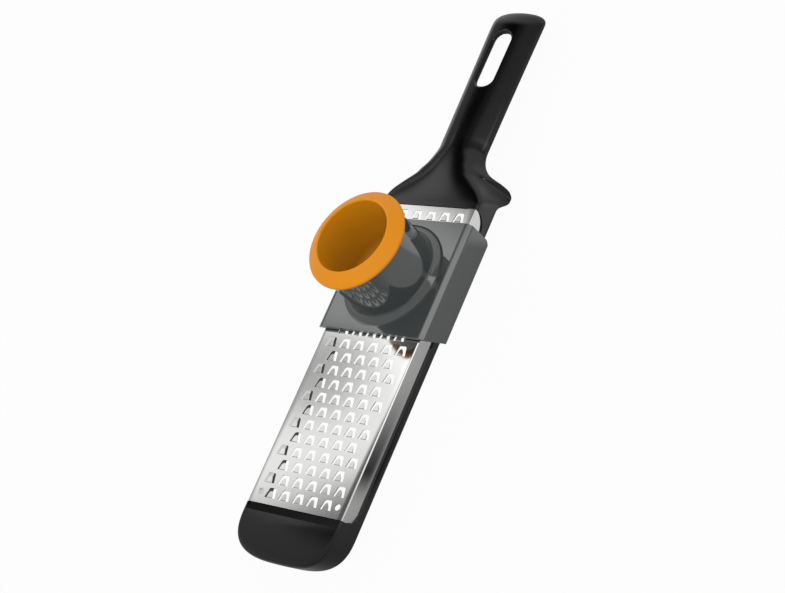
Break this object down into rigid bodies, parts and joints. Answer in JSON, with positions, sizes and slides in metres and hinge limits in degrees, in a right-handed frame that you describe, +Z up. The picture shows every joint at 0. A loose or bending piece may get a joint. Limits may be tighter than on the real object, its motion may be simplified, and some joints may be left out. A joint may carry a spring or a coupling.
{
  "type": "hand grater",
  "caption": "Flat coarse hand grater with a folded steel blade, a moulded frame and handle, and a sliding food holder with a cup-shaped pusher.",
  "frame": {"origin": "middle of the grater's length and width, on the surface that it lies on, under the lugs and the foot", "axes": "+X across the tool, +Y from the toe to the handle, +Z up from the surface, square to the face of the blade"},
  "size_m": [0.0682, 0.3174, 0.0609],
  "materials": {
    "black_nylon": "satin moulded black",
    "satin_steel": "satin stainless sheet",
    "soft_rubber": "matt soft rubber",
    "grey_plastic": "polished smoke grey",
    "orange_plastic": "smooth orange"
  },
  "bodies": {
    "grater": {"frame": "black_nylon", "blade": "satin_steel", "toe_foot": "soft_rubber"},
    "holder": {"food_holder": "grey_plastic"},
    "plunger": {"pusher": "orange_plastic"}
  },
  "joints": [
    {"name": "holder_slide", "type": "slide", "parent": "grater", "child": "holder", "axis": [0, 1, 0], "range_m": [-0.095, 0.018]},
    {"name": "pusher_slide", "type": "slide", "parent": "holder", "child": "plunger", "axis": [0, 0, 1], "range_m": [0, 0.028]}
  ]
}
